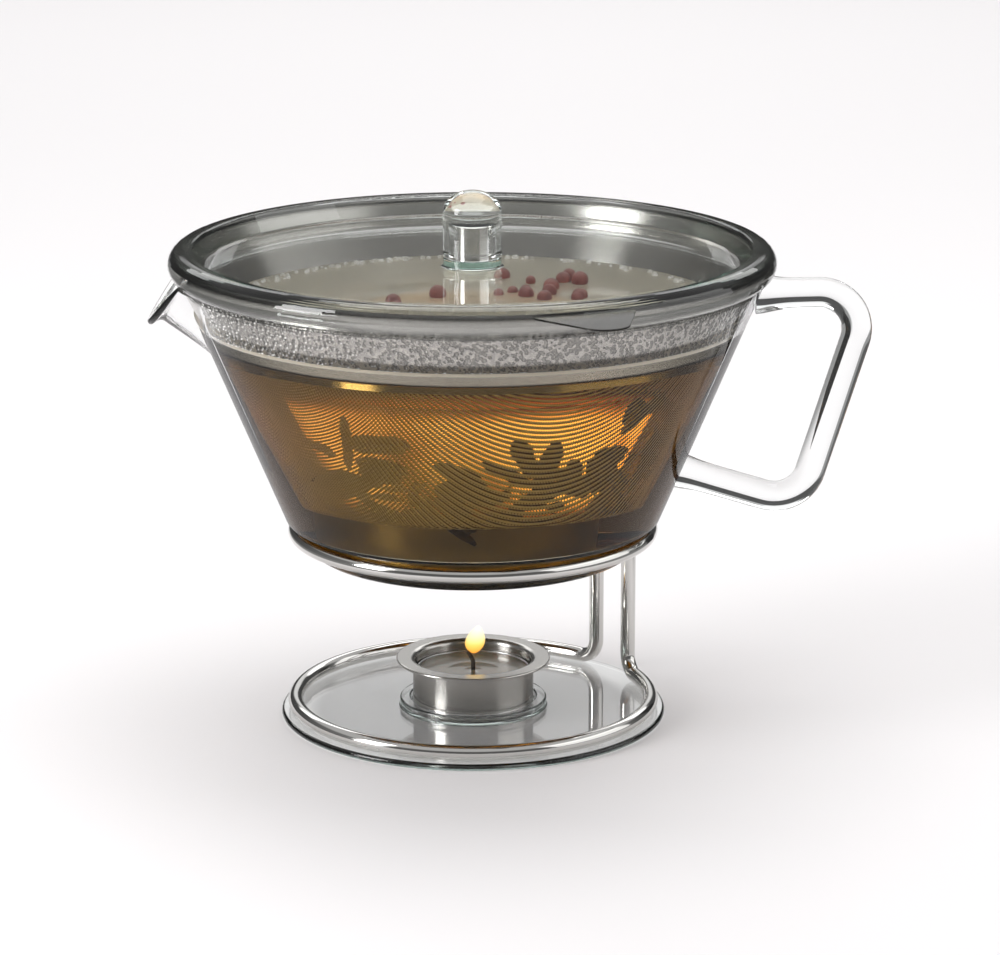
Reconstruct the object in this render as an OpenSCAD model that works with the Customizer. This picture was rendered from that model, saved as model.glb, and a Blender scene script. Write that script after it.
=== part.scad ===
// Glass teapot with a lift-out strainer and a glass lid, on a wire stand over a tea light.
// Millimetres. Z is up, and the origin is under the middle of the base plate, on the pot's axis.
// +X points at the handle and -X at the spout.

/* [Warmer] */
// Radius of the glass base plate
plate_radius = 64.2; // [50:0.1:80]
// Thickness of the glass base plate
plate_thickness = 2.2; // [2:0.1:5]
// Inner radius of the ring that locates the candle holder
locator_radius = 21; // [20.5:0.1:24]
// Width of that ring
locator_width = 3.6; // [2:0.1:5]
// Height of that ring above the plate
locator_height = 3; // [2:0.1:6]
// Diameter of the stand's steel wire
wire_diameter = 5; // [3:0.1:7]
// Radius of the base ring's centre line
base_ring_radius = 59.5; // [50:0.1:70]
// Bend radius where the base ring turns up into a leg
leg_bend_radius = 6.5; // [5:0.1:12]
// Azimuth of the leg nearer the handle, in degrees from +X
near_leg_azimuth = 28.2; // [10:0.1:40]
// Azimuth of the other leg
far_leg_azimuth = 45; // [40:0.1:80]
// Radius of the support ring's centre line
support_ring_radius = 58.9; // [50:0.1:70]
// Height of the support ring's centre line
support_ring_height = 63.75; // [50:0.05:90]

/* [Candle] */
// Outer radius of the candle holder
holder_radius = 20.2; // [19.8:0.1:22]
// Wall of the candle holder
holder_wall = 0.9; // [0.6:0.1:1.5]
// Radius of the holder's flange
holder_flange_radius = 25.8; // [22:0.1:30]
// Height of the flange's top above the floor
holder_top = 18.8; // [16:0.1:24]
// Outer radius of the tea light
tealight_radius = 18.9; // [18:0.1:19]
// Height of the wax surface
wax_top = 14.6; // [10:0.1:17]
// Radius of the wick
wick_radius = 0.75; // [0.5:0.05:1.2]

/* [Pot] */
// Outer radius of the pot at its rim
rim_radius = 98.3; // [80:0.1:110]
// Height of the rim above the floor
rim_height = 155.2; // [130:0.1:180]
// Radius that the wall gains for each millimetre of height
wall_slope = 0.417; // [0.3:0.001:0.6]
// Thickness of the glass
glass_wall = 2.2; // [1.6:0.1:3.5]
// Height of the underside of the pot
pot_bottom = 56.6; // [50:0.1:60]
// Radius of the rounded edge of the pot's base
heel_radius = 6; // [4:0.1:9]
// How far the lip drops at the tip of the spout
spout_drop = 17; // [8:0.1:25]
// How far the spout stands out from the cone of the wall
spout_reach = 16.3; // [8:0.1:22]
// Half the angle of the rim that the spout takes up
spout_half_angle = 25; // [15:0.5:35]

/* [Handle] */
// Diameter of the glass rod
rod_diameter = 10; // [8:0.1:14]
// Radius of the handle's two bends
handle_bend = 12.3; // [9:0.1:18]

/* [Strainer] */
// Thickness of the strainer's steel sheet
sheet = 0.6; // [0.4:0.05:1]
// Height of the collar's shelf
shelf_height = 131.5; // [120:0.1:140]
// Inner radius of the shelf, where the mesh begins
mesh_top_radius = 59.6; // [45:0.1:75]
// Radius at the bottom of the mesh cone
mesh_bottom_radius = 40.4; // [30:0.1:50]
// Height of the bottom of the mesh cone
mesh_bottom = 79; // [70:0.1:95]
// Radius of the pan under the mesh
pan_radius = 34.6; // [25:0.1:38]
// Height of the underside of the pan
pan_bottom = 61.7; // [60:0.1:75]
// How far the pan sits off the axis, toward the spout
pan_shift = 4; // [0:0.1:6]
// Length of the finger tab beyond the rim
tab_length = 22; // [10:0.1:28]

/* [Lid] */
// Outer radius of the lid
lid_radius = 99.2; // [90:0.1:110]
// Radius of the recess in the top of the lid
recess_radius = 91; // [70:0.1:95]
// Thickness of the lid's glass
lid_thickness = 3; // [2:0.1:5]
// Depth of the recess
recess_depth = 6.8; // [3:0.1:12]
// Radius of the knob
knob_radius = 9.6; // [7:0.1:14]
// Height of the knob above its boss
knob_height = 21.8; // [15:0.1:30]
// Radius of the steel core inside the knob
core_radius = 5; // [3:0.1:7]

/* [Hidden] */
$fn = 96;
rest_gap = 0.2;
seam_gap = 0.05;
// Bends are a hair thicker than the straights, which run a little way into them.
bend_extra = 0.02;
bend_overlap = 0.3;
wire_radius = wire_diameter / 2;
base_ring_height = plate_thickness + rest_gap + wire_radius;

holder_bottom = plate_thickness + rest_gap;
holder_floor = holder_bottom + 1;
shell_bottom = holder_floor + rest_gap;
shell_wall = 0.4;
sustainer_height = 0.3;
sustainer_bottom = shell_bottom + shell_wall + seam_gap;
wax_bottom = sustainer_bottom + sustainer_height + seam_gap;

wall_lean = atan(wall_slope);
seat_radius = wire_radius + 0.35;
heel_centre = [support_ring_radius - seat_radius - heel_radius, pot_bottom + heel_radius];
seat_centre = [support_ring_radius, support_ring_height];
// The shoulder's arc starts level, right above the support ring, and ends along the cone.
seat_top = support_ring_height + seat_radius;
cone_above_seat = rim_radius + (seat_top - rim_height) * wall_slope - support_ring_radius;
shoulder_radius = cone_above_seat / (1 / cos(wall_lean) - wall_slope);
shoulder_centre = [support_ring_radius, seat_top + shoulder_radius];

rod_radius = rod_diameter / 2;
handle_top_start = [88, 142.6];
handle_top_corner = [130.4, 143.6];
handle_low_corner = [108, 71.4];
handle_low_end = [62, 85];
weld_length = 6;
weld_radius = 6.6;

flange_bottom = rim_height + rest_gap;
flange_top = flange_bottom + sheet;
collar_gap = 0.5;
collar_kink = 147;
collar_foot_radius = 83.6;
lip_drop = 3.5;
mesh_sheet = 0.5;
mesh_corner = 2;
locator_round = 0.7;
tab_azimuth = -69.3;
tab_half_width = 16.3;
tab_tip_radius = 8;

lid_bottom = flange_top + rest_gap;
lid_top = 159;
recess_floor = lid_top - recess_depth;
boss_radius = knob_radius - 0.1;
boss_top = recess_floor + 3;
knob_bottom = boss_top + seam_gap;
dome_height = 7.2;
core_height = 10.7;

glass = [0.85, 0.93, 0.92, 0.35];
lid_glass = [0.72, 0.84, 0.80, 0.4];
steel = [0.75, 0.75, 0.74];
aluminium = [0.82, 0.83, 0.84];
wax = [0.93, 0.91, 0.85];
char = [0.12, 0.1, 0.09];

// ---- shared shapes ----

// Points of an arc from angle a to angle b, in steps of about ten degrees.
function arc(centre, radius, a, b) =
    let (steps = max(2, ceil(abs(b - a) / 10)))
    [for (i = [0 : steps]) let (t = a + (b - a) * i / steps)
        centre + radius * [cos(t), sin(t)]];

function reverse(points) = [for (i = [len(points) - 1 : -1 : 0]) points[i]];

function unit(v) = v / norm(v);

// Outer radius of the pot's cone at height z, set in from its surface by depth.
function cone_radius(z, depth) =
    rim_radius + (z - rim_height) * wall_slope - depth / cos(wall_lean);

// A straight rod between two points of the XZ plane.
module rod(from, to, r1, r2) {
    step = to - from;
    translate([from.x, 0, from.y])
        rotate([0, atan2(step.x, step.y), 0])
            cylinder(h = norm(step), r1 = r1, r2 = r2);
}

// ---- warmer ----

module base_plate() {
    edge = plate_thickness / 2;
    color(lid_glass)
        rotate_extrude() {
            square([plate_radius - edge, plate_thickness]);
            translate([plate_radius - edge, edge]) circle(edge);
            translate([locator_radius, edge])
                square([locator_width, edge + locator_height - locator_round]);
            translate([locator_radius + locator_round, plate_thickness + locator_height - 2 * locator_round])
                square([locator_width - 2 * locator_round, 2 * locator_round]);
            for (side = [locator_round, locator_width - locator_round])
                translate([locator_radius + side, plate_thickness + locator_height - locator_round])
                    circle(locator_round);
        }
}

// A leg at the given azimuth: turn is 1 where the ring runs into it anticlockwise, else -1.
module leg(azimuth, turn) {
    bend_angle = atan2(leg_bend_radius, base_ring_radius);
    ring_end = azimuth - turn * bend_angle;
    foot_radius = norm([base_ring_radius, leg_bend_radius]);
    straight_bottom = base_ring_height + leg_bend_radius;
    straight_top = support_ring_height - wire_radius - seam_gap;
    translate([base_ring_radius * cos(ring_end), base_ring_radius * sin(ring_end), straight_bottom])
        rotate([90, 0, ring_end + turn * 90])
            rotate([0, 0, -90])
                rotate_extrude(angle = 90)
                    translate([leg_bend_radius, 0]) circle(wire_radius + bend_extra);
    translate([foot_radius * cos(azimuth), foot_radius * sin(azimuth),
               straight_bottom - bend_overlap])
        cylinder(h = straight_top - straight_bottom + bend_overlap, r = wire_radius);
}

module stand_wire() {
    bend_angle = atan2(leg_bend_radius, base_ring_radius) - asin(bend_overlap / base_ring_radius);
    ring_start = far_leg_azimuth + bend_angle;
    ring_sweep = 360 + near_leg_azimuth - bend_angle - ring_start;
    color(steel) {
        translate([0, 0, base_ring_height])
            rotate([0, 0, ring_start])
                rotate_extrude(angle = ring_sweep)
                    translate([base_ring_radius, 0]) circle(wire_radius);
        leg(near_leg_azimuth, 1);
        leg(far_leg_azimuth, -1);
    }
}

module support_ring() {
    color(steel)
        rotate_extrude()
            translate([support_ring_radius, support_ring_height]) circle(wire_radius);
}

// ---- candle ----

module candle_holder() {
    bore = holder_radius - holder_wall;
    flange_thickness = 1;
    neck = holder_top - flange_thickness;
    corner = 0.8;
    bell = 1.9;
    color(steel)
        rotate_extrude()
            polygon(concat(
                [[0, holder_bottom]],
                arc([holder_radius - corner, holder_bottom + corner], corner, -90, 0),
                arc([holder_radius + bell, neck - bell], bell, 180, 90),
                arc([holder_flange_radius - 0.5, holder_top - 0.5], 0.5, -90, 90),
                arc([bore + bell, holder_top - bell], bell, 90, 180),
                [[bore, holder_floor], [0, holder_floor]]
            ));
}

module tealight_shell() {
    color(aluminium)
        rotate_extrude() {
            translate([0, shell_bottom]) square([tealight_radius, shell_wall]);
            translate([tealight_radius - shell_wall, shell_bottom])
                square([shell_wall, wax_top + shell_wall - shell_bottom]);
        }
}

module tealight_wax() {
    tube_height = 3;
    wax_radius = tealight_radius - shell_wall - seam_gap;
    color(wax)
        difference() {
            translate([0, 0, wax_bottom]) cylinder(h = wax_top - wax_bottom, r = wax_radius);
            cylinder(h = wax_top + 1, r = wick_radius + seam_gap);
            cylinder(h = wax_bottom + tube_height, r = 2 * wick_radius);
        }
}

module wick_sustainer() {
    foot_radius = 6.5;
    tube_height = 2.8;
    color(aluminium)
        difference() {
            translate([0, 0, sustainer_bottom]) {
                cylinder(h = sustainer_height, r = foot_radius);
                cylinder(h = sustainer_height + tube_height, r = 2 * wick_radius - seam_gap);
            }
            cylinder(h = holder_top, r = wick_radius + seam_gap);
        }
}

module wick() {
    straight_top = wax_top + 1.4;
    bend = 5;
    lean = 32;
    tip_length = 2.2;
    color(char) {
        translate([0, 0, sustainer_bottom])
            cylinder(h = straight_top - sustainer_bottom + bend_overlap, r = wick_radius);
        translate([-bend, 0, straight_top])
            rotate([90, 0, 0])
                rotate_extrude(angle = lean)
                    translate([bend, 0]) circle(wick_radius + bend_extra);
        translate([-bend + bend * cos(lean), 0, straight_top + bend * sin(lean)])
            rotate([0, -lean, 0])
                translate([0, 0, -bend_overlap])
                    cylinder(h = tip_length + bend_overlap, r = wick_radius);
    }
}

// ---- pot ----

// The pot's outline from the middle of its base up to the rim, set in by depth.
function pot_outline(depth) = concat(
    [[0, pot_bottom + depth]],
    arc(heel_centre, heel_radius - depth, -90, 0),
    arc(seat_centre, seat_radius + depth, 170, 90),
    arc(shoulder_centre, shoulder_radius - depth, -80, -wall_lean)
);

// Share of the spout's full size at an azimuth measured from its middle.
function spout_share(a) = pow(cos(90 * min(1, abs(a) / spout_half_angle)), 2);

// Height at which the wall starts to bulge into the spout.
function spout_root(a) = rim_height - 32.4 + 28 * pow(a / spout_half_angle, 2);

// Middle of the glass at azimuth a: u runs from 0 at the root to 1 at the lip, then to 2 over the curl.
function spout_middle(a, u) =
    let (
        share = spout_share(a),
        half = glass_wall / 2,
        lip = rim_height - half - 1.6 - spout_drop * share,
        root = spout_root(a),
        base = spout_patch_bottom,
        rise = min(u, 1),
        curl = max(u - 1, 0),
        z = base + (lip - base) * rise,
        s = max(0, (z - root) / (lip - root)),
        swell = 1.12 * s * s / (s + 0.12)
    )
    [
        cone_radius(z, half) + spout_reach * share * (0.72 * swell + 0.28 * curl),
        z + curl * (1.6 - 0.2 * share) - 2.8 * share * curl * curl
    ];

spout_patch_bottom = rim_height - 34.7;
spout_patch_angle = spout_half_angle + 2.5;
spout_cut_angle = spout_half_angle + 1;
spout_steps = [for (i = [0 : 12]) i / 12, 1.25, 1.5, 1.75, 2];

// One closed slice of the spout's wall, seen at azimuth a.
function spout_slice(a) =
    let (
        half = glass_wall / 2 - seam_gap,
        middle = [for (u = spout_steps) spout_middle(a, u)],
        last = len(middle) - 1,
        across = [for (i = [0 : last])
            let (along = unit(middle[min(i + 1, last)] - middle[max(i - 1, 0)]))
            [along.y, -along.x]],
        tip_along = [-across[last].y, across[last].x]
    )
    concat(
        [for (i = [0 : last]) middle[i] + half * across[i]],
        [for (t = [45, 90, 135]) middle[last] + half * (cos(t) * across[last] + sin(t) * tip_along)],
        [for (i = [last : -1 : 0]) middle[i] - half * across[i]]
    );

// The spout's wall as one band of glass that overlaps the bowl on three sides.
module spout_patch() {
    columns = 24;
    slices = [for (i = [0 : columns])
        let (a = spout_patch_angle * (2 * i / columns - 1))
        [for (p = spout_slice(a)) [-p.x * cos(a), -p.x * sin(a), p.y]]];
    count = len(slices[0]);
    sides = [for (i = [0 : columns - 1]) for (j = [0 : count - 1])
        let (k = (j + 1) % count, here = i * count, next = (i + 1) * count)
        each [[here + j, here + k, next + j], [next + j, here + k, next + k]]];
    // Each end is closed by a ladder of quads between the two faces, and a fan over the rounded lip.
    last = len(spout_steps) - 1;
    rungs = [for (i = [0 : last - 1]) [i, i + 1, count - 2 - i, count - 1 - i]];
    cap = concat(rungs, [[for (i = [0 : 4]) last + i]]);
    start_cap = [for (f = cap) reverse(f)];
    end_cap = [for (f = cap) [for (j = f) columns * count + j]];
    polyhedron(points = [for (s = slices) each s], faces = concat(sides, start_cap, end_cap));
}

module pot_body() {
    rim_middle_height = rim_height - glass_wall / 2;
    rim_middle = [cone_radius(rim_middle_height, glass_wall / 2), rim_middle_height];
    reach = rim_radius * 1.3;
    edge = reach * tan(spout_cut_angle);
    color(glass) {
        difference() {
            rotate_extrude()
                polygon(concat(
                    pot_outline(0),
                    arc(rim_middle, glass_wall / 2, -wall_lean, 180 - wall_lean),
                    reverse(pot_outline(glass_wall))
                ));
            translate([0, 0, spout_patch_bottom + 1])
                linear_extrude(height = rim_height)
                    polygon([[0, 0], [-reach, edge], [-reach, -edge]]);
        }
        spout_patch();
    }
}

// One bend of the handle, between the corner's two straight arms.
module handle_bend_at(corner, before, after) {
    to_before = unit(before - corner);
    to_after = unit(after - corner);
    half_angle = acos(to_before * to_after) / 2;
    centre = corner + unit(to_before + to_after) * handle_bend / sin(half_angle);
    start = corner + to_after * handle_bend / tan(half_angle) - centre;
    translate([centre.x, 0, centre.y])
        rotate([90, 0, 0])
            rotate([0, 0, atan2(start.y, start.x)])
                rotate_extrude(angle = 180 - 2 * half_angle)
                    translate([handle_bend, 0]) circle(rod_radius + bend_extra);
}

// How much of each arm a bend takes up, less the overlap that joins them.
function bend_length(corner, before, after) =
    handle_bend / tan(acos(unit(before - corner) * unit(after - corner)) / 2) - bend_overlap;

module pot_handle() {
    top_cut = bend_length(handle_top_corner, handle_top_start, handle_low_corner);
    low_cut = bend_length(handle_low_corner, handle_top_corner, handle_low_end);
    top_arm = unit(handle_top_start - handle_top_corner);
    grip = unit(handle_low_corner - handle_top_corner);
    low_arm = unit(handle_low_end - handle_low_corner);
    top_weld = [cone_radius(handle_top_start.y, 0), handle_top_start.y];
    low_weld = [cone_radius(82, 0), 79.1];
    cut_height = rim_height - 60;
    color(glass)
        difference() {
            union() {
                rod(handle_top_start, handle_top_corner + top_cut * top_arm, rod_radius, rod_radius);
                handle_bend_at(handle_top_corner, handle_top_start, handle_low_corner);
                rod(handle_top_corner + top_cut * grip, handle_low_corner - low_cut * grip,
                    rod_radius, rod_radius);
                handle_bend_at(handle_low_corner, handle_top_corner, handle_low_end);
                rod(handle_low_corner + low_cut * low_arm, handle_low_end, rod_radius, rod_radius);
                rod(top_weld + weld_length * top_arm, top_weld - weld_length * top_arm,
                    weld_radius, weld_radius);
            }
            translate([0, 0, 60])
                cylinder(h = cut_height, r1 = cone_radius(60, -seam_gap),
                         r2 = cone_radius(rim_height, -seam_gap));
        }
}

// ---- strainer ----

// The collar's outline from the flange down to the lip that the mesh hangs in, set in by depth.
function collar_outline(depth) = concat(
    [[cone_radius(flange_bottom, glass_wall + collar_gap) - depth, flange_bottom + depth],
     [cone_radius(collar_kink, glass_wall + collar_gap) - depth, collar_kink]],
    arc([collar_foot_radius - 2, shelf_height + 2], 2 - depth, -20, -90),
    [[mesh_top_radius + sheet - depth, shelf_height + depth]]
);

module finger_tab() {
    centre = tab_length - tab_tip_radius;
    side = atan2(tab_half_width - tab_tip_radius, centre) * 0.9;
    inner = cone_radius(flange_bottom, glass_wall);
    translate([0, 0, flange_bottom])
        rotate([0, 0, tab_azimuth])
            linear_extrude(height = sheet)
                polygon(concat(
                    [[inner, -tab_half_width]],
                    [[lid_radius, -tab_half_width]],
                    arc([lid_radius + centre, 0], tab_tip_radius, side - 90, 90 - side),
                    [[lid_radius, tab_half_width]],
                    [[inner, tab_half_width]]
                ));
}

module strainer_collar() {
    flange_end = cone_radius(flange_bottom, 0) - 0.4;
    lip_outer = mesh_top_radius + sheet;
    lip_bottom = shelf_height - lip_drop;
    color(steel) {
        rotate_extrude()
            polygon(concat(
                [[flange_end, flange_bottom]],
                collar_outline(0),
                [[lip_outer, lip_bottom], [mesh_top_radius, lip_bottom]],
                reverse(collar_outline(sheet)),
                [[flange_end, flange_top]]
            ));
        finger_tab();
    }
}

module collar_hem() {
    outer = mesh_top_radius - mesh_sheet - 2 * seam_gap;
    color(steel)
        rotate_extrude()
            translate([outer - sheet, shelf_height - lip_drop]) square([sheet, lip_drop]);
}

module strainer_mesh() {
    outer = mesh_top_radius - seam_gap;
    lip_bottom = shelf_height - lip_drop;
    fall = lip_bottom - mesh_bottom;
    foot = mesh_bottom_radius - mesh_corner * 0.6;
    lean = atan2(outer - mesh_bottom_radius, fall);
    corner = [foot, mesh_bottom + mesh_corner];
    color(steel)
        difference() {
            rotate_extrude()
                polygon(concat(
                    [[outer, shelf_height - seam_gap], [outer, lip_bottom]],
                    arc(corner, mesh_corner, -lean, -90),
                    [[0, mesh_bottom], [0, mesh_bottom + mesh_sheet]],
                    arc(corner, mesh_corner - mesh_sheet, -90, -lean),
                    [[outer - mesh_sheet, lip_bottom], [outer - mesh_sheet, shelf_height - seam_gap]]
                ));
            translate([-pan_shift, 0, mesh_bottom - 1]) cylinder(h = 3, r = pan_radius + seam_gap);
        }
}

module strainer_pan() {
    corner = 3;
    draft = 1.2;
    foot = pan_radius - draft;
    pan_top = mesh_bottom + mesh_sheet + 0.4;
    centre = [foot - corner, pan_bottom + corner];
    color(steel)
        translate([-pan_shift, 0, 0])
            rotate_extrude()
                polygon(concat(
                    [[0, pan_bottom]],
                    arc(centre, corner, -90, 0),
                    [[pan_radius, mesh_bottom], [pan_radius, pan_top], [pan_radius - mesh_sheet, pan_top],
                     [pan_radius - mesh_sheet, mesh_bottom]],
                    arc(centre, corner - mesh_sheet, 0, -90),
                    [[0, pan_bottom + mesh_sheet]]
                ));
}

// ---- lid ----

module lid_plate() {
    edge = (lid_top - lid_bottom) / 2;
    disc_bottom = recess_floor - lid_thickness;
    skirt = recess_radius - 2.6;
    color(lid_glass)
        rotate_extrude()
            polygon(concat(
                [[0, disc_bottom]],
                arc([skirt - 1, disc_bottom + 3], 3, -90, -20),
                arc([recess_radius + 3.6, lid_bottom - 1.5], 1.5, 160, 90),
                arc([lid_radius - edge, lid_bottom + edge], edge, -90, 90),
                arc([recess_radius + 1, lid_top - 1], 1, 90, 160),
                arc([recess_radius - 4, recess_floor + 1.5], 1.5, -20, -90),
                [[boss_radius, recess_floor], [boss_radius, boss_top], [0, boss_top]]
            ));
}

module lid_knob() {
    dome_base = knob_bottom + knob_height - dome_height;
    dome = [for (t = [0 : 7.5 : 90]) [knob_radius * cos(t), dome_base + dome_height * sin(t)]];
    bore_top = knob_bottom + core_height + seam_gap;
    color(glass)
        rotate_extrude()
            polygon(concat(
                [[core_radius + seam_gap, knob_bottom], [knob_radius - 0.3, knob_bottom],
                 [knob_radius, knob_bottom + 0.3]],
                dome,
                [[0, bore_top], [core_radius + seam_gap, bore_top]]
            ));
}

module knob_core() {
    color(steel)
        translate([0, 0, knob_bottom]) cylinder(h = core_height, r = core_radius);
}

// ---- the part ----

base_plate();
stand_wire();
support_ring();
candle_holder();
tealight_shell();
tealight_wax();
wick_sustainer();
wick();
pot_body();
pot_handle();
strainer_collar();
collar_hem();
strainer_mesh();
strainer_pan();
lid_plate();
lid_knob();
knob_core();
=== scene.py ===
"""Glass teapot with a lift-out strainer and a glass lid, on a wire stand over a tea light.

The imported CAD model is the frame. Every CAD solid is redrawn here as a smooth mesh of the same
size, and the tea, the leaves, the berries, the condensation and the flame are added to it.
Lengths in the outlines are in millimetres, and MM turns them into metres.
"""

import math
import random

import bmesh
import bpy
from mathutils import Matrix, Vector, noise


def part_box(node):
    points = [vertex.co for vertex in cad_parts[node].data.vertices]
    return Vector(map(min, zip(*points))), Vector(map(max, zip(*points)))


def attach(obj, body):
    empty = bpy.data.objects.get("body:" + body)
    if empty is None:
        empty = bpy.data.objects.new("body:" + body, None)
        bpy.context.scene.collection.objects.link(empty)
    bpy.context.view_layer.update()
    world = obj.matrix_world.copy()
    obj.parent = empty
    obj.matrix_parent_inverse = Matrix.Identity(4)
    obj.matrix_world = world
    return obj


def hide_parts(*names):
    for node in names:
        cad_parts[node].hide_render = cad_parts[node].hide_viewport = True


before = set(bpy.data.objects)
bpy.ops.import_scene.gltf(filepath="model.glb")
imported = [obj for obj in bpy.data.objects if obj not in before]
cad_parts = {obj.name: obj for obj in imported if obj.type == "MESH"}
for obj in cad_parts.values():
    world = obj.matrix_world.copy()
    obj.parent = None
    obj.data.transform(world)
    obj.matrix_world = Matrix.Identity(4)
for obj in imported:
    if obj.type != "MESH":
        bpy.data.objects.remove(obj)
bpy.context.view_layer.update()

MM = 0.001
SCENE = bpy.context.scene


# ---- sizes, in millimetres, from the frame ----

def low_and_high(node):
    """The lowest and highest corners of a CAD node, in millimetres."""
    low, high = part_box(node)
    return low / MM, high / MM


PLATE_LOW, PLATE_HIGH = low_and_high("base_plate")
RING_LOW, RING_HIGH = low_and_high("support_ring")
WIRE_LOW, WIRE_HIGH = low_and_high("stand_wire")
HOLDER_LOW, HOLDER_HIGH = low_and_high("candle_holder")
SHELL_LOW, SHELL_HIGH = low_and_high("tealight_shell")
WAX_LOW, WAX_HIGH = low_and_high("tealight_wax")
WICK_LOW, WICK_HIGH = low_and_high("wick")
POT_LOW, POT_HIGH = low_and_high("pot_body")
COLLAR_LOW, COLLAR_HIGH = low_and_high("strainer_collar")
MESH_LOW, MESH_HIGH = low_and_high("strainer_mesh")
PAN_LOW, PAN_HIGH = low_and_high("strainer_pan")
LID_LOW, LID_HIGH = low_and_high("lid_plate")
KNOB_LOW, KNOB_HIGH = low_and_high("lid_knob")
CORE_LOW, CORE_HIGH = low_and_high("knob_core")

PLATE_RADIUS = PLATE_HIGH.x
PLATE_THICKNESS = 2.2
WIRE_RADIUS = (RING_HIGH.z - RING_LOW.z) / 2
SUPPORT_RADIUS = RING_HIGH.x - WIRE_RADIUS
SUPPORT_HEIGHT = RING_LOW.z + WIRE_RADIUS

RIM_HEIGHT = POT_HIGH.z
RIM_RADIUS = 98.3
WALL_SLOPE = 0.417
WALL_LEAN = math.atan(WALL_SLOPE)
GLASS = 2.2
TEA_HEIGHT = 136.0


# ---- shared shapes ----

def arc(centre, radius, start, end, step=6):
    """Points of an arc in the (radius, height) plane, from one angle to another in degrees."""
    count = max(2, math.ceil(abs(end - start) / step))
    angles = [math.radians(start + (end - start) * i / count) for i in range(count + 1)]
    return [(centre[0] + radius * math.cos(a), centre[1] + radius * math.sin(a)) for a in angles]


def line(start, end, count):
    """Points from start up to, but not including, end."""
    return [tuple(s + (e - s) * i / count for s, e in zip(start, end)) for i in range(count)]


def ring_point(radius, degrees, z):
    a = math.radians(degrees)
    return Vector((radius * math.cos(a), radius * math.sin(a), z))


def make_object(name, vertices, faces, material, sharp=40):
    """A smooth-shaded mesh object with edges over the sharp angle kept crisp."""
    mesh = bpy.data.meshes.new(name)
    mesh.from_pydata([Vector(v) * MM for v in vertices], [], faces)
    shape = bmesh.new()
    shape.from_mesh(mesh)
    bmesh.ops.remove_doubles(shape, verts=shape.verts, dist=1e-7)
    bmesh.ops.recalc_face_normals(shape, faces=shape.faces)
    shape.to_mesh(mesh)
    shape.free()
    mesh.shade_smooth()
    mesh.set_sharp_from_angle(angle=math.radians(sharp))
    mesh.materials.append(material)
    thing = bpy.data.objects.new(name, mesh)
    SCENE.collection.objects.link(thing)
    return thing


def grid_faces(rows, columns, close_rows, close_columns):
    """Quads of a grid of vertices that are numbered row by row."""
    faces = []
    for i in range(rows if close_rows else rows - 1):
        for j in range(columns if close_columns else columns - 1):
            k, m = (i + 1) % rows, (j + 1) % columns
            faces.append((i * columns + j, k * columns + j, k * columns + m, i * columns + m))
    return faces


def lathe_mesh(outline, segments=192, centre=(0, 0)):
    """Vertices and faces of an outline of (radius, height) points turned about the Z axis.
    An outline that starts and ends on the axis is a solid, and any other one is closed on itself."""
    on_axis = outline[0][0] < 1e-6 and outline[-1][0] < 1e-6
    vertices = []
    for r, z in outline:
        for i in range(segments):
            a = 2 * math.pi * i / segments
            vertices.append((centre[0] + r * math.cos(a), centre[1] + r * math.sin(a), z))
    return vertices, grid_faces(len(outline), segments, not on_axis, True)


def supported(outline, closed):
    """The outline with a point close to each end of its long lines, which keeps flat parts flat."""
    points = []
    for i, start in enumerate(outline):
        points.append(start)
        if i + 1 == len(outline) and not closed:
            break
        end = outline[(i + 1) % len(outline)]
        length = math.dist(start, end)
        if length > 0.8:
            nearness = min(0.12, length * 0.1) / length
            for t in (nearness, 1 - nearness):
                points.append(tuple(a + (b - a) * t for a, b in zip(start, end)))
    return points


def lathe(name, outline, material, segments=192, centre=(0, 0), sharp=40):
    on_axis = outline[0][0] < 1e-6 and outline[-1][0] < 1e-6
    vertices, faces = lathe_mesh(supported(outline, not on_axis), segments, centre)
    return make_object(name, vertices, faces, material, sharp)


def tube_mesh(path, radii, sides=32):
    """Vertices and faces of a round rod along a path, with closed ends."""
    points = [Vector(p) for p in path]
    count = len(points)
    tangents = [(points[min(i + 1, count - 1)] - points[max(i - 1, 0)]).normalized()
                for i in range(count)]
    across = tangents[0].orthogonal().normalized()
    vertices = []
    for i, point in enumerate(points):
        across = (across - across.dot(tangents[i]) * tangents[i]).normalized()
        up = tangents[i].cross(across)
        radius = radii[i] if isinstance(radii, list) else radii
        for j in range(sides):
            a = 2 * math.pi * j / sides
            vertices.append(point + radius * (math.cos(a) * across + math.sin(a) * up))
    faces = grid_faces(count, sides, False, True)
    faces.append(tuple(range(sides)))
    faces.append(tuple(reversed(range((count - 1) * sides, count * sides))))
    return vertices, faces


def tube(name, path, radii, material, sides=32, sharp=40):
    vertices, faces = tube_mesh(path, radii, sides)
    return make_object(name, vertices, faces, material, sharp)


def bend(corner, before, after, radius, count=16):
    """Points of a path's rounded corner, between the arms to the points before and after it."""
    corner, before, after = Vector(corner), Vector(before), Vector(after)
    to_before, to_after = (before - corner).normalized(), (after - corner).normalized()
    half = to_before.angle(to_after) / 2
    centre = corner + (to_before + to_after).normalized() * radius / math.sin(half)
    start = corner + to_before * radius / math.tan(half) - centre
    end = corner + to_after * radius / math.tan(half) - centre
    start, end = start.normalized(), end.normalized()
    return [centre + radius * start.slerp(end, i / count) for i in range(count + 1)]


def place(piece, body, nodes=()):
    """The piece rides on a body, and stands for the CAD nodes if there are any."""
    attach(piece, body)
    if nodes:
        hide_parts(*nodes)
    return piece


# ---- materials ----

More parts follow.
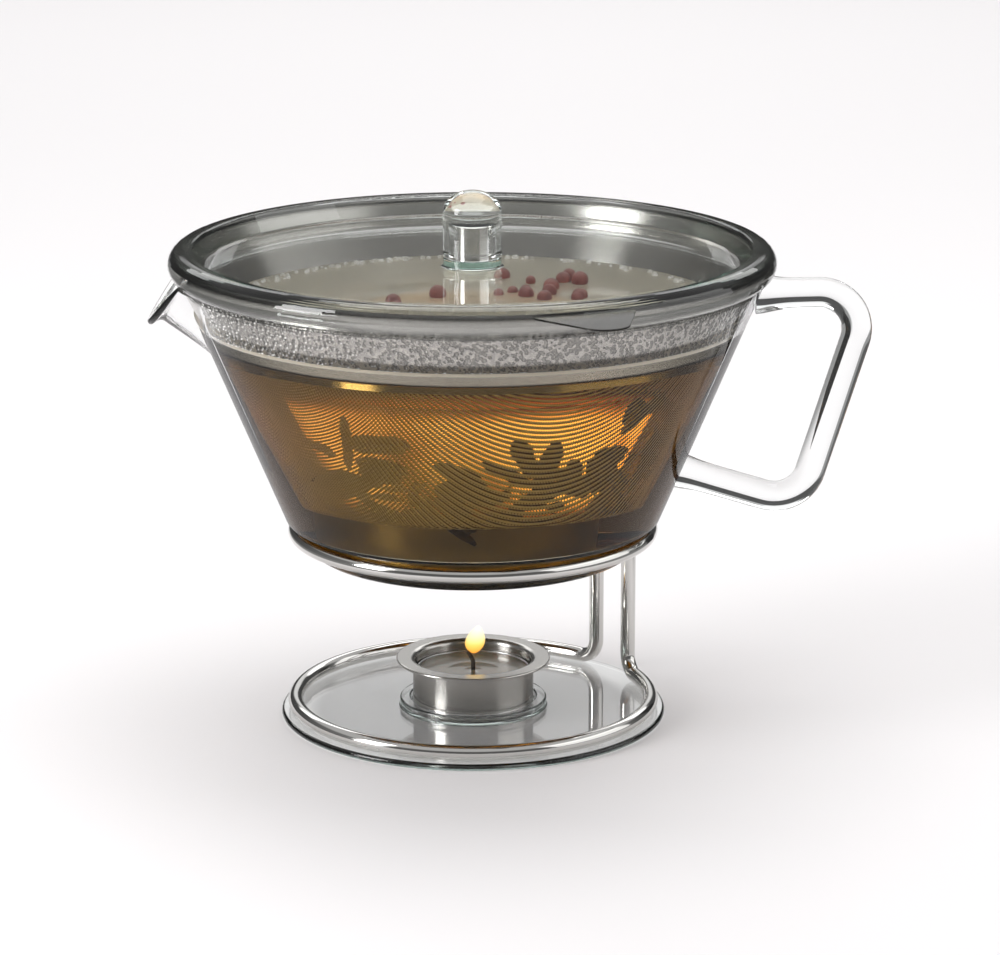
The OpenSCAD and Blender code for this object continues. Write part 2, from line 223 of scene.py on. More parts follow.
class Nodes:
    """A short way to build a material's or the world's node tree."""

    def __init__(self, tree):
        self.tree = tree
        tree.nodes.clear()

    def add(self, kind, inputs=None, **settings):
        node = self.tree.nodes.new(kind)
        for key, value in settings.items():
            setattr(node, key, value)
        for key, value in (inputs or {}).items():
            if isinstance(value, bpy.types.NodeSocket):
                self.tree.links.new(value, node.inputs[key])
            else:
                node.inputs[key].default_value = value
        return node

    def math(self, operation, a, b=0.0, clamp=False):
        node = self.add("ShaderNodeMath", {0: a, 1: b}, operation=operation, use_clamp=clamp)
        return node.outputs[0]

    def ramp(self, factor, stops, interpolation="LINEAR"):
        node = self.add("ShaderNodeValToRGB", {0: factor})
        ramp = node.color_ramp
        ramp.interpolation = interpolation
        while len(ramp.elements) < len(stops):
            ramp.elements.new(0.5)
        for element, (position, colour) in zip(ramp.elements, stops):
            element.position = position
            element.color = (*colour, 1) if len(colour) == 3 else colour
        return node.outputs["Color"]

    def mix(self, factor, a, b):
        node = self.add("ShaderNodeMix", {"Factor": factor}, data_type="RGBA")
        for socket, value in ((node.inputs[6], a), (node.inputs[7], b)):
            if isinstance(value, bpy.types.NodeSocket):
                self.tree.links.new(value, socket)
            else:
                socket.default_value = (*value, 1)
        return node.outputs[2]

    def noise(self, scale, detail=2.0, vector=None, **inputs):
        fields = {"Scale": scale, "Detail": detail, **inputs}
        if vector is not None:
            fields["Vector"] = vector
        return self.add("ShaderNodeTexNoise", fields).outputs["Fac"]

    def object_point(self):
        return self.add("ShaderNodeTexCoord").outputs["Object"]

    def split(self, vector):
        return self.add("ShaderNodeSeparateXYZ", {0: vector}).outputs

    def blend(self, share, first, second):
        """A mix of two shaders: share is 0 for the first one and 1 for the second."""
        shaders = {0: share, 1: first.outputs[0], 2: second.outputs[0]}
        return self.add("ShaderNodeMixShader", shaders)

    def bump(self, height, strength, distance):
        fields = {"Height": height, "Strength": strength, "Distance": distance}
        return self.add("ShaderNodeBump", fields).outputs["Normal"]


def new_material(name):
    material = bpy.data.materials.new(name)
    material.use_nodes = True
    nodes = Nodes(material.node_tree)
    output = nodes.add("ShaderNodeOutputMaterial")
    return material, nodes, output


def show(nodes, output, shader, socket="Surface"):
    nodes.tree.links.new(shader.outputs[0], output.inputs[socket])


def principled(nodes, output, inputs):
    shader = nodes.add("ShaderNodeBsdfPrincipled", inputs)
    show(nodes, output, shader)
    return shader


def clear_glass(name, ior, tint, tint_density, wet=False):
    """Clear glass whose colour deepens with the thickness that the light goes through.
    Where its mesh is marked as wet, liquid is against it and it only bends the light. A glass
    that can be wet also reflects less than real glass everywhere else, by the share CALM_GLASS."""
    material, nodes, output = new_material(name)
    shader = principled(nodes, output, {"Base Color": (1, 1, 1, 1), "Roughness": 0.0, "IOR": ior,
                                        "Transmission Weight": 1.0})
    if wet:
        bend_only = nodes.add("ShaderNodeBsdfRefraction", {"Color": (1, 1, 1, 1), "IOR": ior})
        mark = nodes.add("ShaderNodeAttribute", attribute_name="wet").outputs["Fac"]
        mark = nodes.math("MAXIMUM", mark, CALM_GLASS)
        mixed = nodes.blend(mark, shader, bend_only)
        show(nodes, output, mixed)
    absorb = nodes.add("ShaderNodeVolumeAbsorption", {"Color": (*tint, 1), "Density": tint_density})
    show(nodes, output, absorb, "Volume")
    return material


def brushed(name, colour, roughness, anisotropy=0.0, grain=0.02, painted_shade_from=1000.0):
    """Satin steel with fine turned streaks. Above a given height its colour is darkened as painted shade.
    """
    material, nodes, output = new_material(name)
    point = nodes.object_point()
    x, y, z = nodes.split(point)
    radius = nodes.math("POWER", nodes.math("ADD", nodes.math("MULTIPLY", x, x),
                                            nodes.math("MULTIPLY", y, y)), 0.5)
    turned = nodes.add("ShaderNodeCombineXYZ", {0: radius, 1: z}).outputs[0]
    lines = nodes.noise(2600.0, 2.0, turned)
    patches = nodes.noise(35.0, 3.0, point)
    uneven = nodes.math("MULTIPLY", nodes.math("SUBTRACT", patches, 0.5), 0.12)
    rough = nodes.math("ADD", roughness, uneven)
    tone = nodes.mix(lines, tuple(c * 0.9 for c in colour), colour)
    # Painted shade: above the given height the steel's colour is darkened.
    high = nodes.math("GREATER_THAN", z, painted_shade_from * MM)
    tone = nodes.mix(high, tone, tuple(c * PAINTED_SHADE_SHARE for c in colour))
    inputs = {"Base Color": tone, "Metallic": 1.0, "Roughness": rough, "Anisotropic": anisotropy,
              "Normal": nodes.bump(lines, grain, 0.0002)}
    if anisotropy:
        inputs["Tangent"] = nodes.add("ShaderNodeTangent", direction_type="RADIAL", axis="Z").outputs[0]
        inputs["Anisotropic Rotation"] = 0.25
    principled(nodes, output, inputs)
    return material


def bright_wire(name):
    """Polished wire whose roughness varies in faint patches."""
    material, nodes, output = new_material(name)
    patches = nodes.noise(60.0, 3.0, nodes.object_point())
    rough = nodes.math("ADD", 0.06, nodes.math("MULTIPLY", patches, 0.06))
    principled(nodes, output, {"Base Color": (0.62, 0.61, 0.59, 1), "Metallic": 1.0,
                               "Roughness": rough})
    return material


def perforated(name):
    """Fine steel weave pressed from a flat disc into the strainer's cone: its threads stay
    nearly straight seen from above, and are drawn out down the wall."""
    material, nodes, output = new_material(name)
    x, y = nodes.split(nodes.object_point())[:2]
    turn = nodes.add("ShaderNodeMath", {0: y, 1: x}, operation="ARCTAN2").outputs[0]
    turn = nodes.math("SUBTRACT", turn, math.radians(WEAVE_TURN))
    squares = nodes.math("ADD", nodes.math("MULTIPLY", x, x), nodes.math("MULTIPLY", y, y))
    share = nodes.math("DIVIDE", nodes.math("SQRT", squares), WEAVE_RADIUS * MM)
    reach = nodes.math("MULTIPLY", nodes.math("POWER", share, WEAVE_DRAW), WEAVE_RADIUS)
    along = nodes.math("MULTIPLY", reach, nodes.math("COSINE", turn))
    across = nodes.math("MULTIPLY", reach, nodes.math("SINE", turn))
    rows = nodes.math("COSINE", nodes.math("MULTIPLY", along, 2 * math.pi / WEAVE_ROWS))
    columns = nodes.math("COSINE", nodes.math("MULTIPLY", across, 2 * math.pi / WEAVE_COLUMNS))
    height = nodes.math("ADD", nodes.math("MULTIPLY", rows, 0.58),
                        nodes.math("MULTIPLY", columns, 0.42))
    solid = nodes.math("LESS_THAN", height, WEAVE_OPEN)
    # Painted highlight and shade: each thread is brightest along its middle and darker towards its edges.
    tone = nodes.ramp(nodes.math("MULTIPLY", nodes.math("SUBTRACT", 1.0, rows), 0.5),
                      [(0.3, MESH_PAINTED_SHADE), (0.9, MESH_PAINTED_HIGHLIGHT)])
    steel = nodes.add("ShaderNodeBsdfPrincipled", {"Base Color": tone, "Metallic": 0.6, "Roughness": 0.5})
    clear = nodes.add("ShaderNodeBsdfTransparent")
    mixed = nodes.blend(solid, clear, steel)
    show(nodes, output, mixed)
    return material


def tea_liquor(name):
    """Black tea: clear, and amber through a thickness of it, with a pale haze on its top."""
    material, nodes, output = new_material(name)
    top = nodes.add("ShaderNodeBsdfPrincipled",
                    {"Base Color": (*TEA_HAZE, 1), "Roughness": 0.05, "IOR": WATER_IOR})
    gloss = nodes.add("ShaderNodeBsdfPrincipled",
                      {"Base Color": (1, 1, 1, 1), "Roughness": 0.0, "IOR": WATER_IOR,
                       "Transmission Weight": 1.0})
    surface = nodes.blend(0.88, gloss, top)
    bend_only = nodes.add("ShaderNodeBsdfRefraction", {"Color": (1, 1, 1, 1), "IOR": WATER_IOR})
    z = nodes.split(nodes.object_point())[2]
    is_top = nodes.math("GREATER_THAN", z, (TEA_HEIGHT - 0.3) * MM)
    mixed = nodes.blend(is_top, bend_only, surface)
    show(nodes, output, mixed)
    absorb = nodes.add("ShaderNodeVolumeAbsorption", {"Color": (*TEA_TINT, 1), "Density": TEA_DENSITY})
    show(nodes, output, absorb, "Volume")
    return material


def painted_tea_glow(name):
    """Painted light for the tea among the leaves: glowing amber patches that fade to brown."""
    material, nodes, output = new_material(name)
    point = nodes.object_point()
    patches = nodes.noise(GLOW_PATCHES, 1.5, point)
    z = nodes.split(point)[2]
    rise = nodes.math("MULTIPLY", nodes.math("SUBTRACT", z, GLOW_LOW * MM),
                      1 / ((GLOW_HIGH - GLOW_LOW) * MM))
    fade = nodes.ramp(rise, [(0.0, (0, 0, 0)), (0.18, (1, 1, 1)), (0.86, (1, 1, 1)),
                             (1.0, (0, 0, 0))], "EASE")
    shares = nodes.ramp(patches, [(0.38, (0.05,) * 3), (0.5, (0.75,) * 3), (0.64, (1, 1, 1))])
    lit = nodes.math("MULTIPLY", shares, fade)
    colour = nodes.ramp(lit, [(0.0, (1.0, 0.36, 0.06)), (0.6, (1.0, 0.52, 0.14)),
                              (1.0, (1.0, 0.64, 0.22))])
    x = nodes.split(point)[0]
    # Painted light: the glow is made stronger towards both sides, and most on the left.
    lean = nodes.math("ADD", 0.85, nodes.math("MULTIPLY", nodes.math("ABSOLUTE", x), 9.0))
    lean = nodes.math("SUBTRACT", lean, nodes.math("MULTIPLY", x, 3.0))
    power = nodes.math("MULTIPLY", nodes.math("MULTIPLY", lit, lean), GLOW_STRENGTH)
    glow = nodes.add("ShaderNodeEmission", {"Color": colour, "Strength": power})
    clear = nodes.add("ShaderNodeBsdfTransparent", {"Color": (0.30, 0.20, 0.10, 1)})
    both = nodes.add("ShaderNodeAddShader", {0: glow.outputs[0], 1: clear.outputs[0]})
    show(nodes, output, both)
    return material


def water_film(name):
    """Condensation: clear between the droplets, which carry painted light on their upper left and painted
    shade at their edges."""
    material, nodes, output = new_material(name)
    height = nodes.add("ShaderNodeAttribute", attribute_name="drop").outputs["Fac"]
    normal = nodes.add("ShaderNodeNewGeometry").outputs["Normal"]
    slant = nodes.add("ShaderNodeVectorMath", {0: normal, 1: DROP_LIGHT},
                      operation="DOT_PRODUCT").outputs["Value"]
    fine = nodes.noise(1500.0, 1.0, nodes.object_point())
    slant = nodes.math("ADD", slant, nodes.math("MULTIPLY", nodes.math("SUBTRACT", fine, 0.5), 0.8))
    # Painted highlight: the droplets' own emission is brightest where their surface turns towards the given
    # light direction.
    lit = nodes.ramp(nodes.math("MULTIPLY", nodes.math("ADD", slant, 1.0), 0.5),
                     [(0.36, (0.0,) * 3), (0.52, (0.22, 0.215, 0.205)), (0.74, (0.95, 0.93, 0.91))])
    x = nodes.split(nodes.object_point())[0]
    # Painted light: the droplets glow more towards the left.
    lean = nodes.math("SUBTRACT", DROP_POWER, nodes.math("MULTIPLY", x, 5.0))
    wet = nodes.math("GREATER_THAN", height, 0.03)
    # Painted shade: the droplets let less through at their edges than at their middles.
    tint = nodes.ramp(height, [(0.0, (1.0,) * 3), (0.06, (0.3,) * 3), (0.6, (0.55,) * 3),
                               (1.0, (0.75,) * 3)])
    clear = nodes.add("ShaderNodeBsdfTransparent", {"Color": tint})
    power = nodes.math("MULTIPLY", wet, lean)
    glow = nodes.add("ShaderNodeEmission", {"Color": lit, "Strength": power})
    both = nodes.add("ShaderNodeAddShader", {0: glow.outputs[0], 1: clear.outputs[0]})
    show(nodes, output, both)
    return material


def leaf_material(name):
    material, nodes, output = new_material(name)
    point = nodes.object_point()
    veins = nodes.noise(420.0, 4.0, point)
    tone = nodes.ramp(veins, [(0.3, (0.012, 0.008, 0.004)), (0.7, (0.06, 0.038, 0.016))])
    principled(nodes, output, {"Base Color": tone, "Roughness": 0.55,
                               "Normal": nodes.bump(veins, 0.5, 0.0004)})
    return material


def berry_material(name):
    material, nodes, output = new_material(name)
    spots = nodes.noise(300.0, 3.0, nodes.object_point())
    tone = nodes.ramp(spots, [(0.3, (0.30, 0.035, 0.03)), (0.7, (0.62, 0.17, 0.13))])
    principled(nodes, output, {"Base Color": tone, "Roughness": 0.35, "Coat Weight": 0.4,
                               "Normal": nodes.bump(spots, 0.4, 0.0005)})
    return material


def foam_material(name):
    material, nodes, output = new_material(name)
    spots = nodes.noise(500.0, 2.0, nodes.object_point())
    tone = nodes.ramp(spots, [(0.3, (0.55, 0.52, 0.45)), (0.7, (0.95, 0.94, 0.9))])
    # Painted light: the bubbles glow a little in their own tone.
    principled(nodes, output, {"Base Color": tone, "Roughness": 0.1, "Coat Weight": 0.6,
                               "Transmission Weight": 0.2, "IOR": 1.33,
                               "Emission Color": tone, "Emission Strength": 0.35})
    return material


def foil(name):
    material, nodes, output = new_material(name)
    crease = nodes.noise(160.0, 3.0, nodes.object_point())
    principled(nodes, output, {"Base Color": (0.82, 0.82, 0.82, 1), "Metallic": 1.0, "Roughness": 0.28,
                               "Normal": nodes.bump(crease, 0.25, 0.0004)})
    return material


def wax_material(name):
    material, nodes, output = new_material(name)
    mottle = nodes.noise(90.0, 3.0, nodes.object_point())
    tone = nodes.ramp(mottle, [(0.3, (0.13, 0.105, 0.068)), (0.7, (0.20, 0.165, 0.11))])
    principled(nodes, output, {"Base Color": tone, "Roughness": 0.25, "Subsurface Weight": 0.4,
                               "Subsurface Scale": 0.004, "Coat Weight": 0.5,
                               "Normal": nodes.bump(mottle, 0.2, 0.0005)})
    return material


def charred(name):
    material, nodes, output = new_material(name)
    fibre = nodes.noise(900.0, 3.0, nodes.object_point())
    tone = nodes.ramp(fibre, [(0.3, (0.01, 0.009, 0.008)), (0.8, (0.09, 0.07, 0.05))])
    principled(nodes, output, {"Base Color": tone, "Roughness": 0.9,
                               "Normal": nodes.bump(fibre, 0.6, 0.0003)})
    return material


def flame_material(name):
    """The flame is orange at its foot, yellow in the middle and nearly white at its tip."""
    material, nodes, output = new_material(name)
    z = nodes.split(nodes.object_point())[2]
    rise = nodes.math("DIVIDE", nodes.math("SUBTRACT", z, FLAME_FOOT * MM),
                      (FLAME_TIP - FLAME_FOOT) * MM)
    colour = nodes.ramp(rise, [(0.0, (0.9, 0.30, 0.03)), (0.35, (1.0, 0.58, 0.12)),
                               (0.65, (1.0, 0.86, 0.45)), (1.0, (1.0, 0.96, 0.8))])
    glow = nodes.add("ShaderNodeEmission", {"Color": colour, "Strength": 1.5})
    clear = nodes.add("ShaderNodeBsdfTransparent")
    edge = nodes.add("ShaderNodeLayerWeight", {"Blend": 0.35}).outputs["Facing"]
    body = nodes.math("SUBTRACT", 1.0, edge, clamp=True)
    mixed = nodes.blend(body, clear, glow)
    show(nodes, output, mixed)
    return material


def floor_material(name):
    """White paper that glows in a ring under the edge of the glass plate: painted light, with no lamp below
    it.
    """
    material, nodes, output = new_material(name)
    x, y = nodes.split(nodes.object_point())[:2]
    squares = nodes.math("ADD", nodes.math("MULTIPLY", x, x), nodes.math("MULTIPLY", y, y))
    radius = nodes.math("SQRT", squares)
    # Painted light: emission in a ring under the plate's rim.
    lit = nodes.ramp(nodes.math("MULTIPLY", radius, 10.0), PAINTED_RIM_GLOW, "EASE")
    principled(nodes, output, {"Base Color": (*PAPER, 1), "Roughness": 0.6, "Specular IOR Level": 0.15,
                               "Emission Color": lit, "Emission Strength": PAINTED_RIM_GLOW_POWER})
    return material


def grey_floor(name):
    """Grey paper at both sides and in front, which fades out towards the middle."""
    material, nodes, output = new_material(name)
    x, y = nodes.split(nodes.object_point())[:2]
    spread = nodes.math("MULTIPLY", nodes.math("MAXIMUM", y, 0.0), 0.15)
    side = nodes.math("SUBTRACT", nodes.math("ABSOLUTE", x), spread)
    sideways = nodes.ramp(side, [(0.185, (0, 0, 0)), (0.28, (1, 1, 1))], "EASE")
    front = nodes.ramp(nodes.math("MULTIPLY", y, -1.0), [(0.24, (0, 0, 0)), (0.6, (1, 1, 1))], "EASE")
    share = nodes.math("MAXIMUM", sideways, front)
    clear = nodes.add("ShaderNodeBsdfTransparent")
    grey = nodes.add("ShaderNodeEmission", {"Color": (*(GREY_FLOOR,) * 3, 1)})
    mixed = nodes.blend(share, clear, grey)
    show(nodes, output, mixed)
    return material


def wall_material(name):
    """Studio walls: dark low down, with a pale card behind the object, and pale at their top."""
    material, nodes, output = new_material(name)
    point = nodes.object_point()
    direction = nodes.add("ShaderNodeVectorMath", {0: point}, operation="NORMALIZE").outputs[0]
    x, y, z = nodes.split(direction)
    facing = nodes.math("MULTIPLY", nodes.math("ADD", y, 1.0), 0.5)
    walls = nodes.ramp(facing, [(0.0, (STUDIO_FRONT,) * 3), (0.5, (STUDIO_SIDE,) * 3),
                                (1.0, (STUDIO_BACK,) * 3)], "EASE")
    card_high = nodes.ramp(z, [(0.243, (0, 0, 0)), (0.285, (1, 1, 1)), (0.40, (1, 1, 1)),
                               (0.46, (0, 0, 0))], "EASE")
    card_wide = nodes.ramp(nodes.math("ABSOLUTE", x), [(0.16, (1, 1, 1)), (0.34, (0, 0, 0))], "EASE")
    behind = nodes.math("GREATER_THAN", y, 0.0)
    card = nodes.math("MULTIPLY", nodes.math("MULTIPLY", card_high, card_wide), behind)
    lit_walls = nodes.mix(card, walls, (STUDIO_CARD,) * 3)
    rise = nodes.ramp(z, [(0.42, (0, 0, 0)), (0.6, (1, 1, 1))], "EASE")
    tone = nodes.mix(rise, lit_walls, (STUDIO_PALE,) * 3)
    glow = nodes.add("ShaderNodeEmission", {"Color": tone})
    show(nodes, output, glow)
    return material


def felt(name):
    material, nodes, output = new_material(name)
    fluff = nodes.noise(700.0, 3.0, nodes.object_point())
    tone = nodes.ramp(fluff, [(0.3, (0.012,) * 3), (0.7, (0.03,) * 3)])
    principled(nodes, output, {"Base Color": tone, "Roughness": 0.95})
    return material


# ---- looks that are tuned ----

WEAVE_TURN = -64.0
WEAVE_RADIUS = 50.0
WEAVE_DRAW = 1.9
WEAVE_ROWS = 1.3
WEAVE_COLUMNS = 0.82
WEAVE_OPEN = 0.05
# The weave's painted shade and painted highlight.
MESH_PAINTED_SHADE = (0.03, 0.025, 0.016)
MESH_PAINTED_HIGHLIGHT = (0.70, 0.65, 0.48)
TEA_TINT = (0.76, 0.575, 0.04)
TEA_DENSITY = 46.0
TEA_HAZE = (0.86, 0.77, 0.60)
WATER_IOR = 1.333
CALM_GLASS = 0.45
# Painted shade: how dark the steel gets above its given height.
PAINTED_SHADE_SHARE = 0.2
GLOW_STRENGTH = 2.9
GLOW_PATCHES = 30.0
GLOW_LOW = 80.0
GLOW_HIGH = 122.0
PAPER = (0.815, 0.796, 0.802)
GREY_FLOOR = 0.30
# Painted light: where and how strongly the floor glows in a ring under the plate's rim.
PAINTED_RIM_GLOW = [(0.50, (0.0,) * 3), (0.57, (1.0, 1.0, 0.99)), (0.625, (1.0, 1.0, 0.99)),
              (0.648, (0.0,) * 3)]
PAINTED_RIM_GLOW_POWER = 0.32
STUDIO_FRONT = 0.13
STUDIO_SIDE = 0.2
STUDIO_BACK = 0.07
STUDIO_PALE = 0.6
STUDIO_CARD = 0.95
LEFT_POWER = 12.0
RIGHT_POWER = 5.2
TOP_POWER = 9.0
BACK_POWER = 11.5
FLAME_FOOT = 19.6
FLAME_TIP = 29.6
DROP_SPACING = 1.35
DROP_LIGHT = (-0.55, 0.35, 0.75)
DROP_POWER = 0.8


# ---- the camera, the floor and the light ----

CAMERA_TARGET = Vector((9.0, 0.0, 80.6)) * MM
CAMERA_DISTANCE = 1.2627
CAMERA_PITCH = math.radians(14.74)
CAMERA_LENS = 137.3


def make_camera():
    data = bpy.data.cameras.new("camera")
    data.sensor_width = 36.0
    data.lens = CAMERA_LENS
    data.clip_start = 0.01
    camera = bpy.data.objects.new("camera", data)
    back = Vector((0, -math.cos(CAMERA_PITCH), math.sin(CAMERA_PITCH)))
    camera.location = CAMERA_TARGET + back * CAMERA_DISTANCE
    camera.rotation_euler = (math.pi / 2 - CAMERA_PITCH, 0, 0)
    SCENE.collection.objects.link(camera)
    SCENE.camera = camera


def make_square(name, half, z, material):
    corners = [(-half, -half, z), (half, -half, z), (half, half, z), (-half, half, z)]
    return make_object(name, corners, [(0, 1, 2, 3)], material)


def make_floor():
    make_square("floor", 12000, -0.15, floor_material("floor_paper"))


def reflection_only(thing):
    """A card that only shows in glass and steel: it gives and stops no light and isn't seen itself."""
    thing.visible_camera = False
    thing.visible_diffuse = False
    thing.visible_shadow = False


def make_cards():
    """What the glass and the steel pick up: a dark flag, grey paper around the object, and walls."""
    corners = [(209, 232, 1), (285, 200, 1), (285, 200, 150), (209, 232, 150)]
    reflection_only(make_object("flag_right", corners, [(0, 1, 2, 3)], felt("flag_felt")))
    reflection_only(make_square("grey_paper", 3900, 0.3, grey_floor("grey_paper")))
    radius, height, segments = 4000, 3000, 96
    vertices = []
    for z in (-1, height):
        vertices += [tuple(ring_point(radius, 360 * i / segments, z)) for i in range(segments)]
    faces = grid_faces(2, segments, False, True)
    reflection_only(make_object("walls", vertices, faces, wall_material("wall_paint")))


def softbox(name, place_at, aim_at, width, height, power):
    data = bpy.data.lights.new(name, "AREA")
    data.shape = "RECTANGLE"
    data.size = width
    data.size_y = height
    data.energy = power
    light = bpy.data.objects.new(name, data)
    light.location = place_at
    light.rotation_euler = (Vector(aim_at) - Vector(place_at)).to_track_quat("-Z", "Y").to_euler()
    SCENE.collection.objects.link(light)


def make_light():
    """A pale studio with four softboxes."""
    world = bpy.data.worlds.new("studio")
    SCENE.world = world
    world.use_nodes = True
    nodes = Nodes(world.node_tree)
    background = nodes.add("ShaderNodeBackground", {"Color": (*(STUDIO_PALE,) * 3, 1)})
    output = nodes.add("ShaderNodeOutputWorld")
    show(nodes, output, background)
    softbox("left_box", (-1.09, -0.51, 0.52), (0, 0, 0.08), 0.44, 0.80, LEFT_POWER)
    softbox("right_box", (1.18, -0.21, 0.55), (0, 0, 0.08), 1.50, 0.90, RIGHT_POWER)
    softbox("top_box", (0.05, 0.35, 1.45), (0, 0.1, 0.1), 1.2, 0.9, TOP_POWER)
    softbox("back_box", (0, 1.85, 1.15), (0, 1.65, 0), 2.6, 0.8, BACK_POWER)


# ---- warmer ----

def make_plate():
    edge = PLATE_THICKNESS / 2
    rib_inner, rib_outer, turn = 21.0, 24.6, 0.7
    top = PLATE_HIGH.z
    outline = [(0, 0), (PLATE_RADIUS - edge, 0)]
    outline += arc((PLATE_RADIUS - edge, edge), edge, -80, 90, 10)
    outline += arc((rib_outer + 0.3, PLATE_THICKNESS + 0.3), 0.3, 270, 180, 30)
    outline += arc((rib_outer - turn, top - turn), turn, 0, 90, 15)
    outline += arc((rib_inner + turn, top - turn), turn, 90, 180, 15)
    outline += arc((rib_inner - 0.3, PLATE_THICKNESS + 0.3), 0.3, 0, -90, 30)
    outline += [(0, PLATE_THICKNESS)]
    glass = clear_glass("plate_glass", 1.5, (0.62, 0.93, 0.84), 7.0)
    plate = lathe("base_plate_glass", outline, glass, 256)
    place(plate, "plate", ["base_plate"])


def make_stand():
    """One wire: down the far leg, round the base and up the near leg."""
    wire = bright_wire("wire_steel")
    ring_radius, bend_radius = 59.5, 6.5
    base = WIRE_LOW.z + WIRE_RADIUS
    reach = math.degrees(math.atan2(bend_radius, ring_radius))
    foot_radius = math.hypot(ring_radius, bend_radius)
    near, far = 28.2, 45.0
    first, last = far + reach, 360 + near - reach

    def leg_bend(azimuth, along):
        start = ring_point(ring_radius, azimuth, base)
        forward = ring_point(along, azimuth + 90, 0)
        turn = [math.radians(90 * i / 14) for i in range(15)]
        return [start + forward * bend_radius * math.sin(a)
                + Vector((0, 0, bend_radius * (1 - math.cos(a)))) for a in turn]

    count = 220
    path = [ring_point(foot_radius, far, WIRE_HIGH.z)]
    path += list(reversed(leg_bend(first, -1)))
    path += [ring_point(ring_radius, first + (last - first) * i / count, base) for i in range(1, count)]
    path += leg_bend(last, 1)
    path += [ring_point(foot_radius, near, WIRE_HIGH.z)]
    place(tube("stand_wire_steel", path, WIRE_RADIUS, wire, 28), "frame", ["stand_wire"])
    section = arc((SUPPORT_RADIUS, SUPPORT_HEIGHT), WIRE_RADIUS, 0, 348, 12)
    ring = lathe("support_ring_steel", section, wire, 256)
    place(ring, "frame", ["support_ring"])


def make_holder():
    outer, wall, corner, bell = 20.2, 0.9, 0.8, 1.9
    bore = outer - wall
    flange = HOLDER_HIGH.x
    top = HOLDER_HIGH.z
    neck = top - 1
    floor = HOLDER_LOW.z + 1
    outline = [(0, HOLDER_LOW.z)]
    outline += arc((outer - corner, HOLDER_LOW.z + corner), corner, -90, 0, 15)
    outline += arc((outer + bell, neck - bell), bell, 180, 90)
    outline += arc((flange - 0.5, top - 0.5), 0.5, -90, 90, 15)
    outline += arc((bore + bell, top - bell), bell, 90, 180)
    outline += [(bore, floor), (0, floor)]
    steel = brushed("holder_steel", (0.54, 0.525, 0.50), 0.24, 0.7, 0.05)
    holder = lathe("candle_holder_steel", outline, steel, 128)
    place(holder, "holder", ["candle_holder"])


def make_tealight():
    radius, wall = SHELL_HIGH.x, 0.4
    low, high = SHELL_LOW.z, SHELL_HIGH.z
    outline = [(0, low), (radius - 0.6, low), (radius, low + 0.6)]
    outline += arc((radius - wall / 2, high - wall / 2), wall / 2, 0, 180, 30)
    outline += [(radius - wall, low + wall + 0.4), (radius - wall - 0.4, low + wall), (0, low + wall)]
    metal = foil("tealight_foil")
    shell = lathe("tealight_shell_foil", outline, metal, 128)
    place(shell, "tealight", ["tealight_shell"])
    side = WAX_HIGH.x
    bore = 0.8
    outline = [(1.5, WAX_LOW.z)] + arc((side - 0.4, WAX_LOW.z + 0.4), 0.4, -90, 0, 30)
    outline += arc((side - 0.3, WAX_HIGH.z - 0.3), 0.3, 0, 90, 30)
    outline += [(side - 2.5, WAX_HIGH.z - 0.35), (9, WAX_HIGH.z - 0.8), (3, WAX_HIGH.z - 0.7),
                (bore, WAX_HIGH.z - 0.5)]
    outline += [(bore, WAX_LOW.z + 3), (1.5, WAX_LOW.z + 3)]
    place(lathe("tealight_wax_pool", outline, wax_material("wax"), 96), "tealight", ["tealight_wax"])
    foot, tube_outer, tube_inner = 6.5, 1.45, 0.8
    low, high = low_and_high("wick_sustainer")
    outline = [(tube_inner, low.z), (foot, low.z), (foot, low.z + 0.3), (tube_outer + 0.2, low.z + 0.3),
               (tube_outer, low.z + 0.5), (tube_outer, high.z), (tube_inner, high.z)]
    sustainer = lathe("wick_sustainer_foil", outline, metal, 48)
    place(sustainer, "tealight", ["wick_sustainer"])
    straight_top, radius, lean, tip = WAX_HIGH.z + 1.4, 5.0, 32, 2.2
    path = [(0, 0, WICK_LOW.z + (straight_top - WICK_LOW.z) * i / 12) for i in range(12)]
    path += [(x - radius, 0, z) for x, z in arc((0, straight_top), radius, 0, lean, 4)]
    a = math.radians(lean)
    end = Vector(path[-1]) + Vector((-math.sin(a), 0, math.cos(a))) * tip
    path += [Vector(path[-1]).lerp(end, t) for t in (0.35, 0.7, 1)]
    radii = [0.72 + 0.06 * math.sin(2.3 * i) for i in range(len(path))]
    radii[-1] = 0.45
    place(tube("wick_cotton", path, radii, charred("char"), 14), "tealight", ["wick"])
    make_flame()


def make_flame():
    """A drop of light over the wick that leans a little towards +X and is flattened along Y."""
    tall, half_width, middle, sweep, flatness = FLAME_TIP - FLAME_FOOT, 3.6, 0.2, 1.6, 0.8
    outline = [(0, FLAME_FOOT)]
    for i in range(1, 24):
        t = i / 24
        r = half_width * math.sin(math.pi * t ** 0.85) ** 0.75 * (1 - 0.15 * t)
        outline.append((r, FLAME_FOOT + tall * t))
    outline.append((0, FLAME_TIP))
    vertices, faces = lathe_mesh(outline, 32, (middle, 0))
    swept = [(x + sweep * ((z - FLAME_FOOT) / tall) ** 1.5, y * flatness, z) for x, y, z in vertices]
    place(make_object("flame", swept, faces, flame_material("flame")), "tealight")


# ---- pot ----

SPOUT_HALF_ANGLE = 25.0
SPOUT_DROP = 17.0
SPOUT_REACH = 16.3
SPOUT_BOTTOM = RIM_HEIGHT - 34.7
HEEL_RADIUS = 6.0
SEAT_RADIUS = WIRE_RADIUS + 0.35
HEEL_CENTRE = (SUPPORT_RADIUS - SEAT_RADIUS - HEEL_RADIUS, POT_LOW.z + HEEL_RADIUS)
SEAT_TOP = SUPPORT_HEIGHT + SEAT_RADIUS


